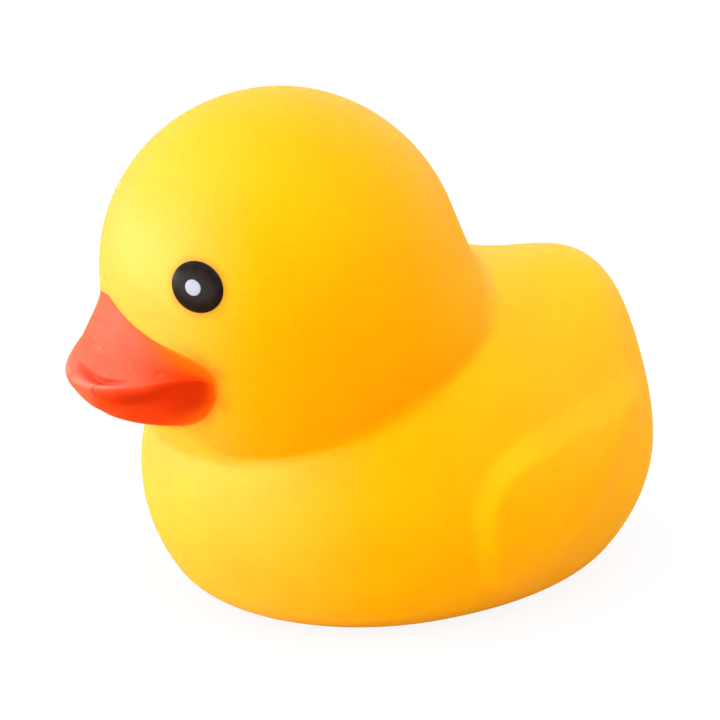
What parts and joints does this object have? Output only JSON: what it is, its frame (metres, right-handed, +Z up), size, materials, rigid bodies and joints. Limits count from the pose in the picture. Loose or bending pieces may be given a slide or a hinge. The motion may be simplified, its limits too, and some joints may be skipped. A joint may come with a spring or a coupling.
{
  "type": "squeeze toy duck",
  "caption": "Soft hollow toy duck with a round head, a broad bill, raised wings and a stub tail, standing on a flat base; it is squeezed in the hand or set on a desk.",
  "frame": {"origin": "on the plane of the flat base, under the widest ring of the body", "axes": "+X is the way the duck faces, +Y its left, +Z up"},
  "size_m": [0.0918, 0.0654, 0.0771],
  "materials": {
    "vinyl": "satin",
    "bill_paint": "satin",
    "eye_black": "gloss",
    "eye_white": "gloss"
  },
  "bodies": {
    "root": {"duck": "vinyl"}
  },
  "joints": []
}
